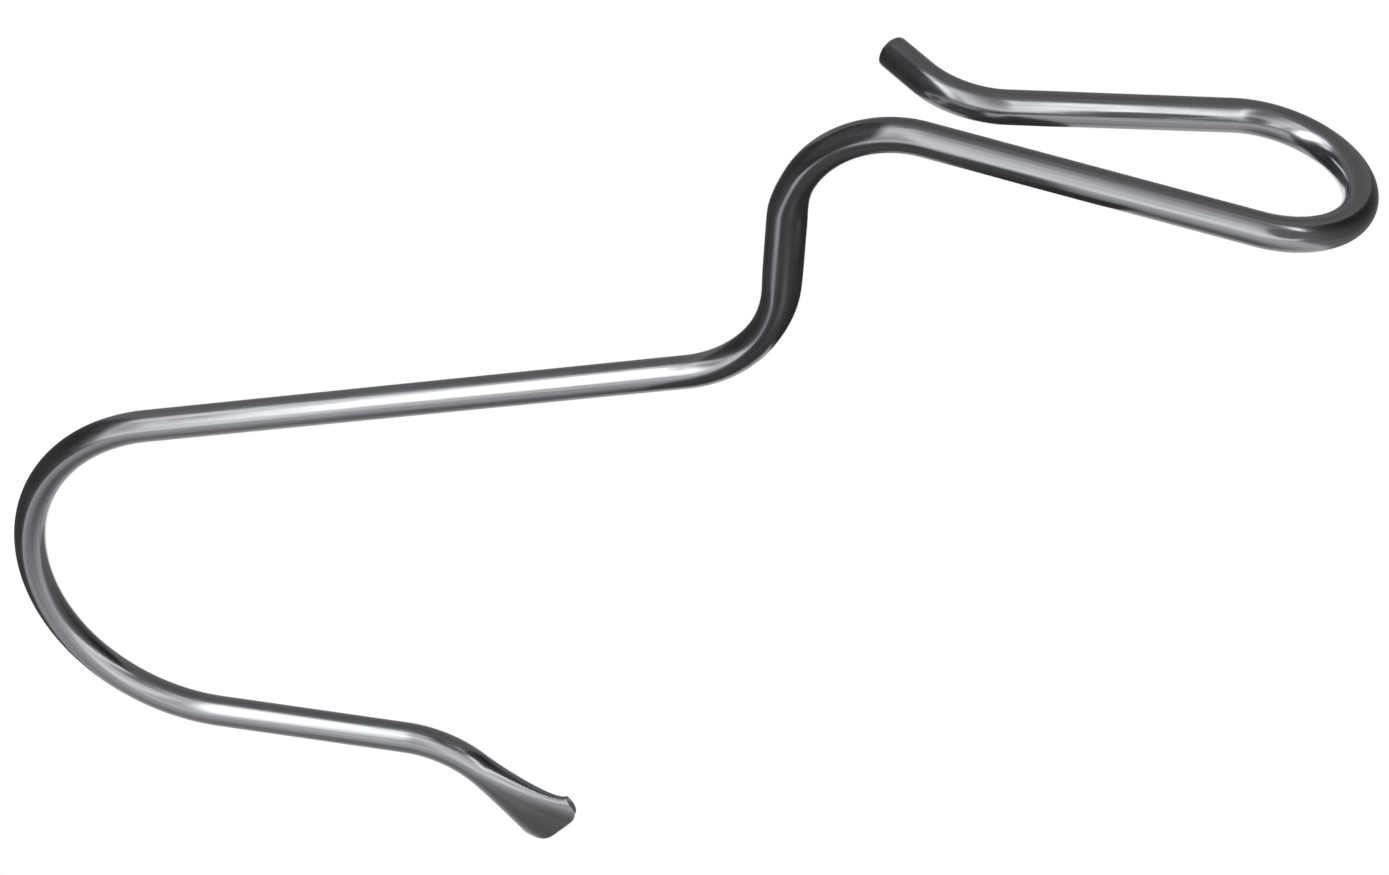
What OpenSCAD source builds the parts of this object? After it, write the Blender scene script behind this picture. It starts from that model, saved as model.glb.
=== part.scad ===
// Bucket hook, bent cold from one length of round steel rod.
// The wide hook goes over a ladder rung, and the narrow one takes the bail of a paint bucket.
// +Z is up as the hook hangs. The origin is where the rung bears, inside the top of the wide bend.
// The wide hook lies in the XZ plane. The narrow one is turned a quarter turn from it, towards +Y.

/* [Rod] */
// Diameter of the rod
rod_d = 6.35; // [5:0.05:8]
// How much thicker the rod is in its bends, where cold bending spreads it
bend_swell = 0.06; // [0.04:0.02:0.12]

/* [Rung hook] */
// Inside radius of the bend that bears on the rung
rung_r = 34; // [25:0.5:45]
// Angle of that bend
rung_angle = 164.5; // [150:0.5:175]
// Straight length of the free arm
arm_l = 39.5; // [25:0.5:60]
// Inside radius of the bend that turns the free end outwards
flare_r = 20.5; // [12:0.5:30]
// Angle of that bend
flare_angle = 40.5; // [20:0.5:60]

/* [Pressed end] */
// Length over which the free end is pressed flat, in the plane of the rung hook
press_l = 22.8; // [15:0.1:30]
// Width of the pressed end
press_w = 14.4; // [10:0.1:16]
// Thickness of the pressed end
press_t = 2.1; // [1.5:0.1:4]
// How far the flat is set off the middle of the rod at its tip
press_set = 1.4; // [0:0.1:2]
// How far the corners of the end fall short of its middle
press_corner = 4.6; // [1:0.1:6]
// Width of the break all round the end's edge
press_break = 0.5; // [0.2:0.1:0.6]

/* [Shank] */
// Straight length of the shank
shank_l = 111; // [80:1:160]
// Inside radius of the bend that steps the rod out from the shank
step_out_r = 20.5; // [12:0.5:30]
// Angle of that bend
step_out_angle = 72.5; // [50:0.5:85]
// Straight length between the two bends of the step
step_l = 15.5; // [8:0.5:30]
// Inside radius of the bend that turns the rod down again
step_back_r = 17; // [12:0.5:30]
// Angle of that bend
step_back_angle = 98; // [75:0.5:110]

/* [Grip] */
// Width that the rod spreads to in the straight of the step, where the bending tool gripped it
grip_w = 7.5; // [6.5:0.1:8]
// Thickness that it is squeezed to there
grip_t = 5.5; // [4.5:0.1:6.2]
// How far the squeeze reaches back into the first bend of the step
grip_before = 12; // [8:0.5:15]
// How far it reaches on into the second bend
grip_after = 8; // [5:0.5:12]
// Length over which the squeeze comes on
grip_on = 16; // [10:0.5:20]
// Length over which it goes off
grip_off = 9; // [5:0.5:12]

/* [Bail hook] */
// Straight length down to the bail hook's bend
drop_l = 59.5; // [45:0.5:80]
// Turn of the bail hook's plane from the rung hook's
bail_roll = 90; // [60:1:120]
// Inside radius of the bend that carries the bail
bail_r = 14.5; // [10:0.5:20]
// Angle of that bend, which is over half a turn and so narrows the mouth
bail_angle = 203; // [190:0.5:206]
// Straight length up the other side
rise_l = 43.5; // [30:0.5:46]
// Inside radius of the bend that turns the lip outwards
lip_r = 12; // [8:0.5:20]
// Angle of that bend
lip_angle = 64; // [40:0.5:80]
// Straight length of the lip
lip_l = 8.5; // [4:0.5:15]
// Width of the break round the lip's sheared end
lip_break = 0.5; // [0.2:0.1:1]

/* [Hidden] */
$fn = 64;
rod_r = rod_d / 2;
// Each stretch runs this far into the next, so that the rod is one solid
lap = 0.5;
// Clearance that keeps the root of a formed stretch inside the rod it grows from
root_inset = 0.03;
// Points round each section of a formed stretch
form_points = 40;
// Sections along the gripped length
grip_steps = 28;
// Sections along the pressed end
press_steps = 16;
// How far the corners of its section fill out at the tip, where 0 is an ellipse
fill_ratio = 0.5;
// Powers of the share of its length by which it widens, is set off the middle and has its corners cut back
spread_power = 1.3;
set_power = 3;
fall_power = 4;
// Power of the place across the end by which its corners fall back
corner_power = 6;

// One straight and bend per row:
// [straight length, whether it was gripped, turn about the rod, angle, inside radius]
over_rung = [
    [0, false, 0, rung_angle, rung_r],
    [arm_l, false, 180, flare_angle, flare_r]
];
down_to_bail = [
    [shank_l, false, 0, step_out_angle, step_out_r],
    [step_l, true, 180, step_back_angle, step_back_r],
    [drop_l, false, bail_roll, bail_angle, bail_r],
    [rise_l, false, 180, lip_angle, lip_r]
];

function power(x, p) = sign(x) * pow(abs(x), p);

// Angle that a length l of the rod's middle takes up in a bend of inside radius r
function arc_angle(l, r) = 180 * l / (PI * (r + rod_r));

// Smooth rise from 0 to 1
function ease(x) = (1 - cos(180 * max(0, min(1, x)))) / 2;

// How far the rod is squeezed, from 0 to 1, at a place u along it from the start of a gripped straight
// of length l
function squeeze(u, l) = ease((u + grip_before) / grip_on) * ease((l + grip_after - u) / grip_off);

// Section of the rod there, where the bends before and after the straight have inside radii r1 and r2
function grip_ring(u, l, r1, r2) = [
    for (i = [0:form_points - 1])
        let (a = 360 * i / form_points, k = squeeze(u, l), r = rod_r - root_inset)
        let (x = (r + (grip_w / 2 - r) * k) * cos(a), y = (r + (grip_t / 2 - r) * k) * sin(a))
        let (before = r1 + rod_r, after = r2 + rod_r)
        u < 0 ? let (b = arc_angle(u, r1)) [before - (before - x) * cos(b), y, (before - x) * sin(b)]
        : u > l ? let (b = arc_angle(u - l, r2)) [(after + x) * cos(b) - after, y, l + (after + x) * sin(b)]
        : [x, y, u]
];

// Half the width and half the thickness of the pressed end, a share q of the way to its tip
function half_width(q) = rod_r - root_inset + (press_w / 2 - rod_r + root_inset) * pow(q, spread_power);
function half_thickness(q) = rod_r - root_inset + (press_t / 2 - rod_r + root_inset) * q;

// Section of the pressed end at share q, drawn in by inset and set at height z
function press_ring(q, z, inset) = [
    for (i = [0:form_points - 1])
        let (a = 360 * i / form_points, e = 1 - fill_ratio * q)
        let (across = power(cos(a), e), through = power(sin(a), e))
        [
            (half_width(q) - inset) * across,
            (half_thickness(q) - inset) * through + press_set * pow(q, set_power),
            z - press_corner * pow(abs(across), corner_power) * pow(q, fall_power)
        ]
];

// Rod along +Z, let into what it meets at both ends
module straight(l) {
    translate([0, 0, -lap]) cylinder(r = rod_r, h = l + 2 * lap);
}

// Rod that leaves the origin along +Z and bends towards +X, drawn from one angle of the bend to another
module bend(from, to, r) {
    translate([r + rod_r, 0, 0])
        rotate([90, 0, 180])
            rotate([0, 0, from])
                rotate_extrude(angle = to - from)
                    translate([r + rod_r, 0]) circle(d = rod_d + bend_swell);
}

// Sets what follows at the far end of a bend
module past_bend(angle, r) {
    translate([r + rod_r, 0, 0])
        rotate([0, angle, 0])
            translate([-r - rod_r, 0, 0]) children();
}

// Solid skinned over a stack of sections, with faces on the last of them counted from its first point
module loft(rings, end_faces) {
    n = form_points;
    last = (len(rings) - 1) * n;
    sides = [
        for (k = [0:len(rings) - 2], i = [0:n - 1])
            let (j = (i + 1) % n)
            [k * n + i, (k + 1) * n + i, (k + 1) * n + j, k * n + j]
    ];
    root_face = [[for (i = [0:n - 1]) i]];
    ends = [for (face = end_faces) [for (i = face) last + i]];
    polyhedron(points = [for (ring = rings) each ring], faces = concat(root_face, sides, ends));
}

// Straight rod along +Z, with the ends of the bend from +X before it and the bend towards -X after it.
// The bending tool has squeezed it along Y, so that it spreads along X.
module gripped(l, r1, r2) {
    start = -grip_before;
    end = l + grip_after;
    body = [for (i = [0:grip_steps]) grip_ring(start + (end - start) * i / grip_steps, l, r1, r2)];
    rings = concat([grip_ring(start - lap, l, r1, r2)], body, [grip_ring(end + lap, l, r1, r2)]);
    loft(rings, [[for (i = [form_points - 1:-1:0]) i]]);
}

// The rod from row i of a bending list on, with the children at its end
module rod(rows, i = 0) {
    if (i < len(rows)) {
        l = rows[i][0];
        angle = rows[i][3];
        r = rows[i][4];
        // A gripped straight is drawn with what it squeezes of the bends before and after it
        from = rows[i][1] ? arc_angle(grip_after, r) : 0;
        to = i + 1 < len(rows) && rows[i + 1][1] ? angle - arc_angle(grip_before, r) : angle;
        if (rows[i][1]) gripped(l, rows[i - 1][4], r);
        else if (l > 0) straight(l);
        translate([0, 0, l]) rotate([0, 0, rows[i][2]]) {
            bend(from, to, r);
            past_bend(angle, r) rod(rows, i + 1) children();
        }
    } else {
        children();
    }
}

// The free end, pressed from the round into a flat fan with rounded corners
module pressed_end() {
    n = form_points;
    body = [
        for (i = [0:press_steps])
            let (q = i / press_steps)
            press_ring(q, (press_l - press_break) * q, 0)
    ];
    rings = concat([press_ring(0, -lap, 0)], body, [press_ring(1, press_l, press_break)]);
    // The curved edge is faced in strips from one flat to the other
    strips = [
        for (i = [0:n / 2 - 1])
            let (c = n - i - 1, d = (n - i) % n)
            i == 0 ? [i, c, i + 1] : i + 1 == c ? [i, d, i + 1] : [i, d, c, i + 1]
    ];
    loft(rings, strips);
}

// The lip's sheared end, with its edge broken
module sheared_end() {
    rotate_extrude()
        polygon([
            [0, -lap], [rod_r, -lap], [rod_r, lip_l - lip_break],
            [rod_r - lip_break, lip_l], [0, lip_l]
        ]);
}

module hook() {
    color([0.74, 0.75, 0.77])
        translate([rung_r + rod_r, 0, -rung_r]) {
            rotate([0, 0, 180]) rod(over_rung) pressed_end();
            rotate([180, 0, 0]) rod(down_to_bail) sheared_end();
        }
}

hook();
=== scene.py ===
# Bucket hook of bent steel rod, dressed for a studio table.
# The rod is drawn and bent here as it is in the shop, stretch by stretch, and then given its zinc finish.
import math

import bmesh
import bpy
from mathutils import Matrix, Vector


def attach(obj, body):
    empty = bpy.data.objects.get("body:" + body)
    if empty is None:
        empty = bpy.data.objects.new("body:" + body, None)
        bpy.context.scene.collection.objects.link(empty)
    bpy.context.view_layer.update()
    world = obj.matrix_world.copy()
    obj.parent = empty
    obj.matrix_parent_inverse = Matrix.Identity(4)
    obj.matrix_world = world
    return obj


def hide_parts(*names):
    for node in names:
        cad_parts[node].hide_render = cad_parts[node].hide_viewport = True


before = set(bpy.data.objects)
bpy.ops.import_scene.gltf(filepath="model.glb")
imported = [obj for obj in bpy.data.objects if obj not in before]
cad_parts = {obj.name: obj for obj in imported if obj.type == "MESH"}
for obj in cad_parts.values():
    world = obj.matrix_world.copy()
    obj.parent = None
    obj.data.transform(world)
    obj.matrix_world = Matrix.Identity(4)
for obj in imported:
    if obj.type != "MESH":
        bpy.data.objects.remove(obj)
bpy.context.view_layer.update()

# ------------------------------------------------ sizes, in mm and degrees, as the part has them
MM = 0.001
ROD_D = 6.35
ROD_R = ROD_D / 2

RUNG_R = 34.0
RUNG_ANGLE = 164.5
ARM_L = 39.5
FLARE_R = 20.5
FLARE_ANGLE = 40.5

PRESS_L = 22.8
PRESS_W = 14.4
PRESS_T = 2.1
PRESS_SET = 1.4
PRESS_CORNER = 4.6
PRESS_BREAK = 0.5
# How the pressed end comes on: the filling out of its section to a flat with rounded corners, then
# the powers for its width, its set off the middle, and the fall of its corners along it and across it
FILL_RATIO = 0.5
SPREAD_POWER = 1.3
SET_POWER = 3
FALL_POWER = 4
CORNER_POWER = 6

SHANK_L = 111.0
STEP_OUT_R = 20.5
STEP_OUT_ANGLE = 72.5
STEP_L = 15.5
STEP_BACK_R = 17.0
STEP_BACK_ANGLE = 98.0

GRIP_W = 7.5
GRIP_T = 5.5
GRIP_BEFORE = 12.0
GRIP_AFTER = 8.0
GRIP_ON = 16.0
GRIP_OFF = 9.0

DROP_L = 59.5
BAIL_ROLL = 90.0
BAIL_R = 14.5
BAIL_ANGLE = 203.0
RISE_L = 43.5
LIP_R = 12.0
LIP_ANGLE = 64.0
LIP_L = 8.5
LIP_BREAK = 0.5

# Sharper than this, in degrees, an edge is shown as an edge
SHARP_EDGE = 30.0

# Faces round the rod, and how far apart its rings are: along a straight, and by turn in a bend
ROUND = 60
RING_STEP = 1.5
TURN = 2.0
# Rings along the pressed end, and round the break of its edge
PRESS_STEPS = 60
BREAK_STEPS = 4

# Each row: straight length, turn about the rod, angle of the bend, inside radius
OVER_RUNG = [
    (0.0, 0.0, RUNG_ANGLE, RUNG_R),
    (ARM_L, 180.0, FLARE_ANGLE, FLARE_R),
]
DOWN_TO_BAIL = [
    (SHANK_L, 0.0, STEP_OUT_ANGLE, STEP_OUT_R),
    (STEP_L, 180.0, STEP_BACK_ANGLE, STEP_BACK_R),
    (DROP_L, BAIL_ROLL, BAIL_ANGLE, BAIL_R),
    (RISE_L, 180.0, LIP_ANGLE, LIP_R),
]
# Place along the rod at which the straight of the step starts
STEP_AT = SHANK_L + math.radians(STEP_OUT_ANGLE) * (STEP_OUT_R + ROD_R)


# ---------------------------------------------------------------- materials
# Roughness of the zinc where it is brightest and where it is dullest
ZINC_BRIGHT = 0.16
ZINC_DULL = 0.24
# How much of the cloud noise's range is used, from and to
CLOUD_FROM = 0.3
CLOUD_TO = 0.7


def linear(value):
    return value / 12.92 if value <= 0.04045 else ((value + 0.055) / 1.055) ** 2.4


def colour(code):
    """Blender's linear colour for an sRGB hex code."""
    return tuple(linear(int(code[i:i + 2], 16) / 255) for i in (0, 2, 4)) + (1.0,)


def add(tree, kind, links=(), **settings):
    """One node with its settings. Links give an input of the node and the output that feeds it."""
    node = tree.nodes.new(kind)
    for name, value in settings.items():
        if hasattr(node, name):
            setattr(node, name, value)
        else:
            node.inputs[name.replace("_", " ")].default_value = value
    for socket, output in links:
        tree.links.new(output, node.inputs[socket])
    return node


def new_material(name):
    material = bpy.data.materials.new(name)
    material.use_nodes = True
    material.node_tree.nodes.clear()
    return material, material.node_tree


def drawn_rod_zinc_plated():
    """Cold drawn steel rod, barrel plated in bright zinc."""
    material, tree = new_material("drawn_rod_zinc_plated")
    rod = add(tree, "ShaderNodeAttribute", attribute_name="rod")
    # Draw marks: fine lines that run along the rod and follow it round the bends. They are 0.5 mm apart here,
    # coarser than on the real rod, so that they show from a step away.
    stretch = add(tree, "ShaderNodeMapping", [("Vector", rod.outputs["Vector"])])
    stretch.inputs["Scale"].default_value = (1.0, 1.0, 0.012)
    marks = add(tree, "ShaderNodeTexNoise", [("Vector", stretch.outputs["Vector"])],
                Scale=2.0, Detail=3.0, Roughness=0.6)
    # Clouding: faint duller and brighter patches, a centimetre long, where the plating is thinner
    cloud_map = add(tree, "ShaderNodeMapping", [("Vector", rod.outputs["Vector"])])
    cloud_map.inputs["Scale"].default_value = (1.0, 1.0, 0.35)
    cloud = add(tree, "ShaderNodeTexNoise", [("Vector", cloud_map.outputs["Vector"])],
                Scale=0.3, Detail=2.0)
    sheen = add(tree, "ShaderNodeMapRange", [("Value", cloud.outputs["Fac"])])
    sheen.inputs["From Min"].default_value = CLOUD_FROM
    sheen.inputs["From Max"].default_value = CLOUD_TO
    sheen.inputs["To Min"].default_value = ZINC_BRIGHT
    sheen.inputs["To Max"].default_value = ZINC_DULL
    tint = add(tree, "ShaderNodeMix", [("Factor", marks.outputs["Fac"])], data_type="RGBA")
    tint.inputs["A"].default_value = colour("A2A4A9")
    tint.inputs["B"].default_value = colour("ECEEF2")
    bump = add(tree, "ShaderNodeBump", [("Height", marks.outputs["Fac"])], Strength=0.25, Distance=0.00004)
    shader = add(tree, "ShaderNodeBsdfPrincipled",
                 [("Base Color", tint.outputs["Result"]), ("Roughness", sheen.outputs["Result"]),
                  ("Normal", bump.outputs["Normal"])], Metallic=1.0)
    add(tree, "ShaderNodeOutputMaterial", [("Surface", shader.outputs["BSDF"])])
    return material


# ---------------------------------------------------------------- the rod
def power(value, exponent):
    return math.copysign(abs(value) ** exponent, value)


def start_ring(bm, rod):
    """The rod's round section. Each point keeps its place across and along the straight rod as it is bent."""
    ring = bmesh.ops.create_circle(bm, cap_ends=False, radius=ROD_R, segments=ROUND)["verts"]
    for v in ring:
        v[rod] = v.co
    return ring


def draw_out(bm, rod, ring, length):
    """Extrudes the ring by one stretch of rod, still in place, and returns the new ring."""
    ring_verts = set(ring)
    edges = {e for v in ring for e in v.link_edges if e.verts[0] in ring_verts and e.verts[1] in ring_verts}
    made = bmesh.ops.extrude_edge_only(bm, edges=list(edges))["geom"]
    new = [g for g in made if isinstance(g, bmesh.types.BMVert)]
    for v in new:
        v[rod] = v[rod] + Vector((0, 0, length))
    return new


def straight(bm, rod, ring, head, length):
    """Draws the rod out along the head, and returns each new ring with its head."""
    steps = math.ceil(length / RING_STEP)
    step = head @ Matrix.Translation((0, 0, length / steps)) @ head.inverted()
    stations = []
    for _ in range(steps):
        ring = draw_out(bm, rod, ring, length / steps)
        bmesh.ops.transform(bm, matrix=step, verts=ring)
        head = step @ head
        stations.append((ring, head))
    return stations


def bend(bm, rod, ring, head, turn, angle, inside):
    """Turns the head about the rod, then bends the rod towards the head's +X."""
    head = head @ Matrix.Rotation(math.radians(turn), 4, "Z")
    middle = inside + ROD_R
    steps = math.ceil(angle / TURN)
    a = math.radians(angle) / steps
    about = Matrix.Translation((middle, 0, 0))
    step = head @ about @ Matrix.Rotation(a, 4, "Y") @ about.inverted() @ head.inverted()
    stations = []
    for _ in range(steps):
        ring = draw_out(bm, rod, ring, middle * a)
        bmesh.ops.transform(bm, matrix=step, verts=ring)
        head = step @ head
        stations.append((ring, head))
    return stations


def bend_up(bm, rod, ring, head, stretches):
    stations = [(ring, head)]
    for length, turn, angle, inside in stretches:
        if length:
            stations += straight(bm, rod, *stations[-1], length)
        stations += bend(bm, rod, *stations[-1], turn, angle, inside)
    return stations


def ease(x):
    """Smooth rise from 0 to 1."""
    return (1 - math.cos(math.pi * max(0.0, min(1.0, x)))) / 2


def squeeze(bm, rod, stations):
    """Squeezes the step along the heads' Y, where the bending tool gripped it, so that it spreads along X."""
    start = STEP_AT - GRIP_BEFORE
    end = STEP_AT + STEP_L + GRIP_AFTER
    for ring, head in stations:
        along = ring[0][rod].z
        share = ease((along - start) / GRIP_ON) * ease((end - along) / GRIP_OFF)
        wide = 1 + (GRIP_W / ROD_D - 1) * share
        thin = 1 + (GRIP_T / ROD_D - 1) * share
        bmesh.ops.scale(bm, vec=(wide, thin, 1), space=head.inverted(), verts=ring)


def bucket_hook(material):
    mesh = bpy.data.meshes.new("hook_rod")
    bm = bmesh.new()
    rod = bm.verts.layers.float_vector.new("rod")
    first = start_ring(bm, rod)
    top = Matrix.Translation((RUNG_R + ROD_R, 0, -RUNG_R))
    bmesh.ops.transform(bm, matrix=top, verts=first)

    up_head = top @ Matrix.Rotation(math.pi, 4, "Z")
    stations = bend_up(bm, rod, first, up_head, OVER_RUNG)
    press_end(bm, rod, *stations[-1])

    down_head = top @ Matrix.Rotation(math.pi, 4, "X")
    stations = bend_up(bm, rod, first, down_head, DOWN_TO_BAIL)
    stations += straight(bm, rod, *stations[-1], LIP_L)
    squeeze(bm, rod, stations)
    shear_end(bm, stations[-1][0])

    bmesh.ops.recalc_face_normals(bm, faces=bm.faces)
    bmesh.ops.scale(bm, vec=(MM, MM, MM), verts=bm.verts)
    for face in bm.faces:
        face.smooth = True
    for edge in bm.edges:
        if edge.is_manifold and edge.calc_face_angle() > math.radians(SHARP_EDGE):
            edge.smooth = False
    bm.to_mesh(mesh)
    bm.free()
    hook = bpy.data.objects.new("hook_rod", mesh)
    bpy.context.collection.objects.link(hook)
    mesh.materials.append(material)
    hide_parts("hook")
    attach(hook, "root")
    return hook


def place_on(v, rod):
    """Which of the ring's points this is, by its place across the straight rod."""
    return (round(v[rod].x, 3), round(v[rod].y, 3))


def press_end(bm, rod, ring, head):
    """Presses the free end from the round into a flat fan with rounded corners, and breaks its edge."""
    back = head.inverted()
    place = {place_on(v, rod): math.atan2((back @ v.co).y, (back @ v.co).x) for v in ring}
    flat = PRESS_L - PRESS_BREAK
    rows = [(k / PRESS_STEPS, flat * k / PRESS_STEPS, 0.0) for k in range(1, PRESS_STEPS + 1)]
    for k in range(1, BREAK_STEPS + 1):
        a = math.pi / 2 * k / BREAK_STEPS
        rows.append((1.0, flat + PRESS_BREAK * math.sin(a), PRESS_BREAK * (1 - math.cos(a))))
    z_before = 0.0
    for q, z, inset in rows:
        half_w = ROD_R + (PRESS_W / 2 - ROD_R) * q ** SPREAD_POWER - inset
        half_t = ROD_R + (PRESS_T / 2 - ROD_R) * q - inset
        set_off = PRESS_SET * q ** SET_POWER
        e = 1 - FILL_RATIO * q
        ring = draw_out(bm, rod, ring, z - z_before)
        z_before = z
        for v in ring:
            a = place[place_on(v, rod)]
            across = power(math.cos(a), e)
            through = power(math.sin(a), e)
            fall = PRESS_CORNER * abs(across) ** CORNER_POWER * q ** FALL_POWER
            v.co = head @ Vector((half_w * across, half_t * through + set_off, z - fall))
    face_strips(bm, sorted(ring, key=lambda v: place[place_on(v, rod)]))


def face_strips(bm, loop):
    n = len(loop)
    half = n // 2
    for i in range(half):
        a, b = loop[(half + i) % n], loop[(half + i + 1) % n]
        c, d = loop[(half - i - 1) % n], loop[(half - i) % n]
        corners = [a, b, c, d]
        unique = [v for k, v in enumerate(corners) if v not in corners[:k]]
        bm.faces.new(unique)


def shear_end(bm, ring):
    """Faces the lip's sheared end and breaks its edge."""
    ends = set(ring)
    edges = [e for e in bm.edges if e.verts[0] in ends and e.verts[1] in ends]
    bmesh.ops.contextual_create(bm, geom=edges)
    bmesh.ops.bevel(bm, geom=edges, offset=LIP_BREAK, offset_type="OFFSET", affect="EDGES",
                    segments=3, profile=0.5, material=-1)


# ---------------------------------------------------------------- studio
# The camera's place, directions and lens are the output of a separate program that fitted the view
CAMERA_AT = Vector((0.37931, -0.50334, -0.33614))
CAMERA_LOOK = Vector((-0.5522, 0.7782, 0.2990))
CAMERA_UP = Vector((0.7958, 0.5990, -0.0893))
CAMERA_LENS = 89.196

# Height and side of the floor, in metres as all the studio is
FLOOR_Z = -1.7
FLOOR_SIZE = 60.0
# Share of the white room's level that falls on the floor as light
ROOM_LIGHT = 0.95

# The cards that the metal shows. Each row: name, place, half side, other half side, its levels in the middle
# and at the edge, and the shares of the way out between which one turns into the other.
# The levels of the nine large cards are mostly the rounded output of a separate program, which fitted them
# for this camera's view. They aren't a design, and plain levels chosen by hand should take their place.
GLOWING_CARDS = [
    ("front", (0.42, 0.5, 0.84), (1.4, 0, 0), (0, 2.6, 0), 0.17, 0.93, (0.0, 0.5)),
    ("key_left", (-0.75, 0.45, 0.81), (0.60, 0, 0), (0, 1.1, 0), 2.5, 0.44, (0.5, 1.0)),
    ("strip_right", (0.72, 0.12, 0.80), (0.12, 0, 0), (0, 0.75, 0), 1.83, 0.87, (0.5, 1.0)),
    ("top_left", (-0.45, 0.79, 0.60), (0.35, 0, 0), (0, 0, 0.2), 2.0, 0.3, (0.0, 1.0)),
    ("left", (-0.8, 0.3, 0.2), (0, 0, 2.2), (0, 3.0, 0), 0.02, 0.06, (0.0, 0.5)),
    ("left_near", (-0.79, 0, 0.62), (0, 0, 0.19), (0, 0.8, 0), 0.0, 1.04, (0.0, 1.0)),
    ("right", (0.8, 0.5, 0.1), (0, 0, 2.2), (0, 2.2, 0), 0.01, 0.15, (0.0, 0.6)),
    ("over", (0.1, 0.8, 0.0), (2.2, 0, 0), (0, 0, 2.2), 0.11, 0.18, (0.0, 0.5)),
    ("under", (-0.1, -0.8, -0.2), (2.2, 0, 0), (0, 0, 2.2), 0.11, 0.47, (0.0, 0.4)),
    # Small dark cards beside the step, which goes dark between two bright straights
    ("flag_under", (0.016, -0.010, 0.055), (0.034, 0, 0), (0, 0.012, 0.050), 0.13, 0.05, (0.0, 0.30)),
    ("flag_right", (0.050, 0.015, 0.025), (0.018, 0.029, 0), (0, -0.024, 0.030), 0.03, 0.03, (0.0, 1.0)),
]
# Soft-edged dark cards close to the rod. Each row: name, place, half side, other half side, level
SCRIMS = [
    ("flag_key", (-0.008, 0.060, 0.077), (-0.027, 0, -0.025), (0.018, 0.066, -0.020), 0.015),
    ("flag_bail", (0.120, 0.034, 0.098), (0.022, 0, 0), (0, 0.021, 0), 0.12),
]
# Share of a scrim, from its middle, that lets nothing through
SCRIM_SOLID = 0.75


def camera():
    data = bpy.data.cameras.new("camera")
    data.sensor_width = 36.0
    data.lens = CAMERA_LENS
    data.clip_end = 50.0
    made = bpy.data.objects.new("camera", data)
    bpy.context.collection.objects.link(made)
    look = CAMERA_LOOK.normalized()
    right = look.cross(CAMERA_UP).normalized()
    up = right.cross(look)
    turn = Matrix((right, up, -look)).transposed()
    made.matrix_world = Matrix.Translation(CAMERA_AT) @ turn.to_4x4()
    bpy.context.scene.camera = made
    return made


def studio_card(name, centre, facing, width, height, material):
    """A flat card at a place in the room, facing the hook or any point given."""
    mesh = bpy.data.meshes.new(name)
    bm = bmesh.new()
    bmesh.ops.create_grid(bm, x_segments=1, y_segments=1, size=0.5)
    bmesh.ops.scale(bm, vec=(width, height, 1), verts=bm.verts)
    turn = (Vector(facing) - Vector(centre)).to_track_quat("Z", "Y").to_matrix().to_4x4()
    bmesh.ops.transform(bm, matrix=Matrix.Translation(centre) @ turn, verts=bm.verts)
    bm.to_mesh(mesh)
    bm.free()
    card = bpy.data.objects.new(name, mesh)
    bpy.context.collection.objects.link(card)
    mesh.materials.append(material)
    return card


def plain_card(name, code):
    material, tree = new_material(name)
    grain = add(tree, "ShaderNodeTexNoise",
                [("Vector", add(tree, "ShaderNodeTexCoord").outputs["Object"])], Scale=400.0)
    bump = add(tree, "ShaderNodeBump", [("Height", grain.outputs["Fac"])], Strength=0.05, Distance=0.0005)
    shader = add(tree, "ShaderNodeBsdfPrincipled", [("Normal", bump.outputs["Normal"])],
                 Base_Color=colour(code), Roughness=0.9)
    add(tree, "ShaderNodeOutputMaterial", [("Surface", shader.outputs["BSDF"])])
    return material


def white_room():
    """Plain white to the camera and in the metal, and a softer level as light."""
    world = bpy.data.worlds.new("white_room")
    bpy.context.scene.world = world
    world.use_nodes = True
    tree = world.node_tree
    tree.nodes.clear()
    path = add(tree, "ShaderNodeLightPath")
    seen = add(tree, "ShaderNodeMath",
               [(0, path.outputs["Is Camera Ray"]), (1, path.outputs["Is Glossy Ray"])], operation="MAXIMUM")
    seen_all = add(tree, "ShaderNodeMath", [(0, seen.outputs[0]), (1, path.outputs["Is Transmission Ray"])],
                   operation="MAXIMUM")
    level = add(tree, "ShaderNodeMix", [("Factor", seen_all.outputs[0])], data_type="FLOAT")
    level.inputs["A"].default_value = ROOM_LIGHT
    level.inputs["B"].default_value = 1.0
    sky = add(tree, "ShaderNodeBackground", [("Strength", level.outputs["Result"])], Color=(1, 1, 1, 1))
    add(tree, "ShaderNodeOutputWorld", [("Surface", sky.outputs["Background"])])


# The studio is set out from the middle of the hook: across and up as the camera sees them, and towards it.
MIDDLE = Vector((0.01, 0.01, -0.14))
TOWARDS = -CAMERA_LOOK.normalized()
ACROSS = CAMERA_LOOK.cross(CAMERA_UP).normalized()
UP = ACROSS.cross(CAMERA_LOOK).normalized()


def studio_place(across, up, towards):
    return MIDDLE + ACROSS * across + UP * up + TOWARDS * towards


def share_from_middle(tree):
    """How far a point of a card is from its middle: 1 at the middle of each side."""
    place = add(tree, "ShaderNodeTexCoord")
    return add(tree, "ShaderNodeVectorMath", [("Vector", place.outputs["Object"])], operation="LENGTH")


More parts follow.
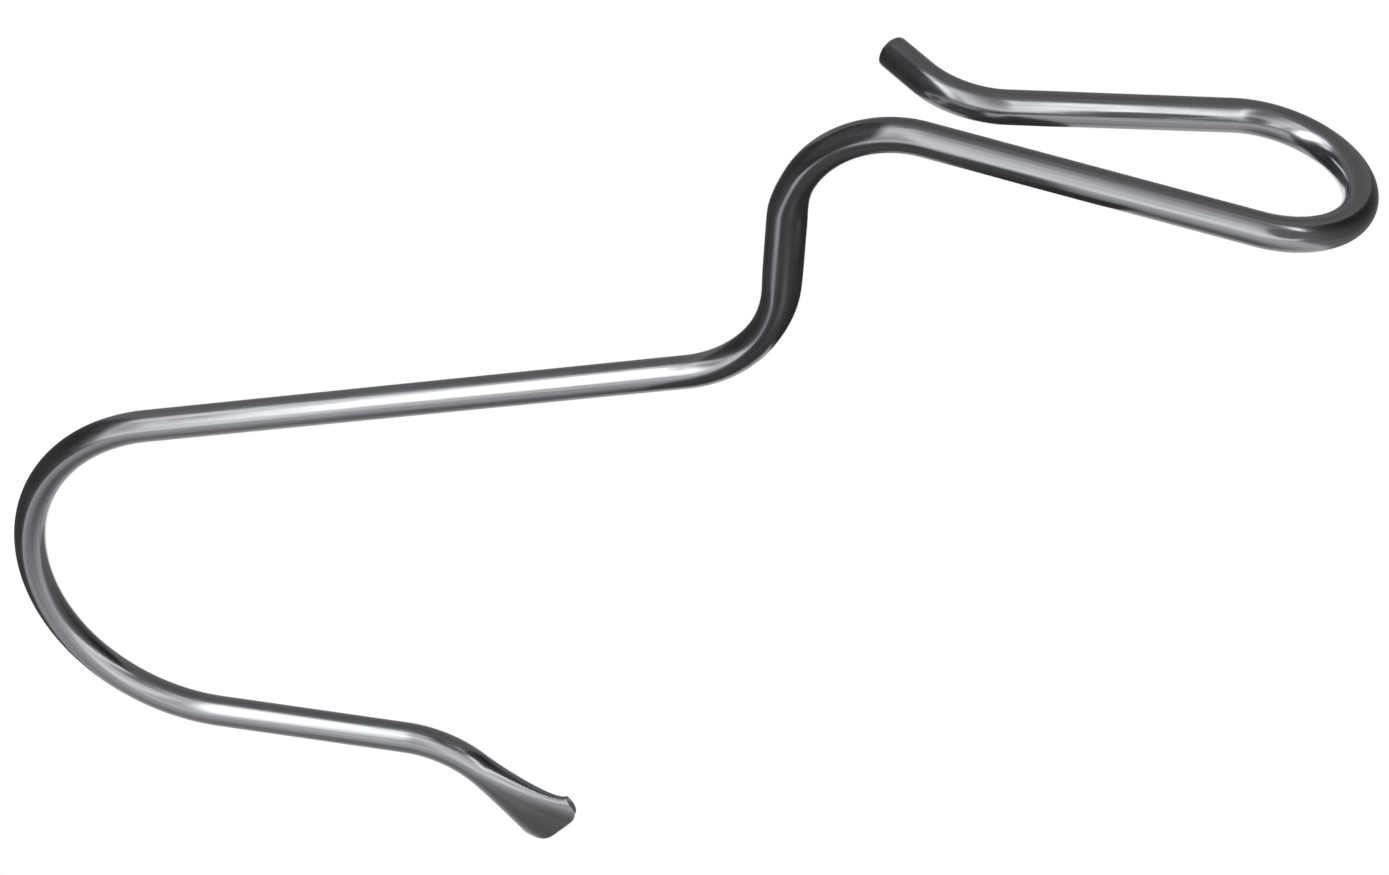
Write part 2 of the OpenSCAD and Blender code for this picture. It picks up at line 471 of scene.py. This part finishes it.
def glowing_sheet(name, middle, edge, fade):
    """A diffusing sheet lit from behind. Its level goes from middle to edge over the fade."""
    material, tree = new_material(name)
    share = share_from_middle(tree)
    level = add(tree, "ShaderNodeMapRange", [("Value", share.outputs["Value"])],
                interpolation_type="SMOOTHSTEP",
                From_Min=fade[0], From_Max=fade[1], To_Min=middle, To_Max=edge)
    glow = add(tree, "ShaderNodeEmission", [("Strength", level.outputs["Result"])], Color=(1, 1, 1, 1))
    add(tree, "ShaderNodeOutputMaterial", [("Surface", glow.outputs["Emission"])])
    return material


def dark_scrim(name, level):
    """Black net on a frame, thinner towards its edge, so that what it hides goes dark without a line."""
    material, tree = new_material(name)
    share = share_from_middle(tree)
    net = add(tree, "ShaderNodeMapRange", [("Value", share.outputs["Value"])],
              interpolation_type="SMOOTHSTEP",
              From_Min=SCRIM_SOLID, From_Max=1.0, To_Min=1.0, To_Max=0.0)
    open_air = add(tree, "ShaderNodeBsdfTransparent")
    dark = add(tree, "ShaderNodeEmission", Color=(1, 1, 1, 1), Strength=level)
    seen = add(tree, "ShaderNodeMixShader", [("Fac", net.outputs["Result"]), (1, open_air.outputs["BSDF"]),
                                             (2, dark.outputs["Emission"])])
    add(tree, "ShaderNodeOutputMaterial", [("Surface", seen.outputs["Shader"])])
    return material


def card(material, place, u, v):
    """A card out of the picture, with its middle at a studio place and half sides u and v."""
    u = studio_place(*u) - MIDDLE
    v = studio_place(*v) - MIDDLE
    mesh = bpy.data.meshes.new(material.name)
    bm = bmesh.new()
    bmesh.ops.create_grid(bm, x_segments=1, y_segments=1, size=1)
    bm.to_mesh(mesh)
    bm.free()
    made = bpy.data.objects.new(material.name, mesh)
    bpy.context.collection.objects.link(made)
    sides = Matrix((u, v, u.cross(v).normalized())).transposed()
    made.matrix_world = Matrix.Translation(studio_place(*place)) @ sides.to_4x4()
    mesh.materials.append(material)
    made.visible_camera = False
    made.visible_diffuse = False
    made.visible_shadow = False
    return made


def studio():
    white_room()
    pale = plain_card("matt_pale_paper", "F2F2F0")
    studio_card("floor", (0, 0, FLOOR_Z), (0, 0, 10), FLOOR_SIZE, FLOOR_SIZE, pale)
    for name, place, u, v, middle, edge, fade in GLOWING_CARDS:
        card(glowing_sheet(name, middle, edge, fade), place, u, v)
    for name, place, u, v, level in SCRIMS:
        card(dark_scrim(name, level), place, u, v)


bpy.context.scene.view_settings.view_transform = "Standard"
bucket_hook(drawn_rod_zinc_plated())
studio()
camera()
